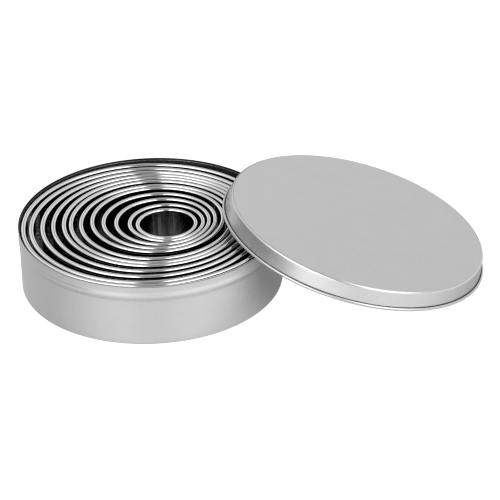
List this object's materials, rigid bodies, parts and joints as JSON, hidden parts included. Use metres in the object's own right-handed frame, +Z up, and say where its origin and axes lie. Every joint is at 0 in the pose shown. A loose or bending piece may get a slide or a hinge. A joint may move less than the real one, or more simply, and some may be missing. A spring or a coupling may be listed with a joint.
{
  "type": "biscuit cutter",
  "caption": "Nested plain round biscuit cutters with rolled rims, standing in a low round drawn tin whose flat lid leans on its rim.",
  "frame": {"origin": "centre of the tin's flat base, on the surface that it stands on", "axes": "+Z up along the tin's axis; +X towards the leaning lid, nearly along its heading; +Y away from the viewer of the picture"},
  "size_m": [0.207, 0.1207, 0.0402],
  "materials": {
    "tinplate": "satin tinplate",
    "stainless": "bright stainless steel strip"
  },
  "bodies": {
    "tin": {"tin_body": "tinplate"},
    "lid": {"tin_lid": "tinplate"},
    "cutter_01": {"cutter_01": "stainless"},
    "cutter_02": {"cutter_02": "stainless"},
    "cutter_03": {"cutter_03": "stainless"},
    "cutter_04": {"cutter_04": "stainless"},
    "cutter_05": {"cutter_05": "stainless"},
    "cutter_06": {"cutter_06": "stainless"},
    "cutter_07": {"cutter_07": "stainless"},
    "cutter_08": {"cutter_08": "stainless"},
    "cutter_09": {"cutter_09": "stainless"},
    "cutter_10": {"cutter_10": "stainless"},
    "cutter_11": {"cutter_11": "stainless"},
    "cutter_12": {"cutter_12": "stainless"}
  },
  "joints": [
    {"name": "lid_lift", "type": "slide", "parent": "tin", "child": "lid", "axis": [0, 0, 1], "range_m": [0, 0.07]},
    {"name": "cutter_01_lift", "type": "slide", "parent": "tin", "child": "cutter_01", "axis": [0, 0, 1], "range_m": [0, 0.035]},
    {"name": "cutter_02_lift", "type": "slide", "parent": "tin", "child": "cutter_02", "axis": [0, 0, 1], "range_m": [0, 0.035]},
    {"name": "cutter_03_lift", "type": "slide", "parent": "tin", "child": "cutter_03", "axis": [0, 0, 1], "range_m": [0, 0.035]},
    {"name": "cutter_04_lift", "type": "slide", "parent": "tin", "child": "cutter_04", "axis": [0, 0, 1], "range_m": [0, 0.035]},
    {"name": "cutter_05_lift", "type": "slide", "parent": "tin", "child": "cutter_05", "axis": [0, 0, 1], "range_m": [0, 0.035]},
    {"name": "cutter_06_lift", "type": "slide", "parent": "tin", "child": "cutter_06", "axis": [0, 0, 1], "range_m": [0, 0.035]},
    {"name": "cutter_07_lift", "type": "slide", "parent": "tin", "child": "cutter_07", "axis": [0, 0, 1], "range_m": [0, 0.035]},
    {"name": "cutter_08_lift", "type": "slide", "parent": "tin", "child": "cutter_08", "axis": [0, 0, 1], "range_m": [0, 0.035]},
    {"name": "cutter_09_lift", "type": "slide", "parent": "tin", "child": "cutter_09", "axis": [0, 0, 1], "range_m": [0, 0.035]},
    {"name": "cutter_10_lift", "type": "slide", "parent": "tin", "child": "cutter_10", "axis": [0, 0, 1], "range_m": [0, 0.035]},
    {"name": "cutter_11_lift", "type": "slide", "parent": "tin", "child": "cutter_11", "axis": [0, 0, 1], "range_m": [0, 0.035]},
    {"name": "cutter_12_lift", "type": "slide", "parent": "tin", "child": "cutter_12", "axis": [0, 0, 1], "range_m": [0, 0.035]}
  ],
  "couplings": [
    {"joint": "cutter_01_lift", "follows": "lid_lift", "ratio": 0.5},
    {"joint": "cutter_02_lift", "follows": "lid_lift", "ratio": 0.5},
    {"joint": "cutter_03_lift", "follows": "lid_lift", "ratio": 0.5},
    {"joint": "cutter_04_lift", "follows": "lid_lift", "ratio": 0.5},
    {"joint": "cutter_05_lift", "follows": "lid_lift", "ratio": 0.5},
    {"joint": "cutter_06_lift", "follows": "lid_lift", "ratio": 0.5},
    {"joint": "cutter_07_lift", "follows": "lid_lift", "ratio": 0.5},
    {"joint": "cutter_08_lift", "follows": "lid_lift", "ratio": 0.5}
  ]
}
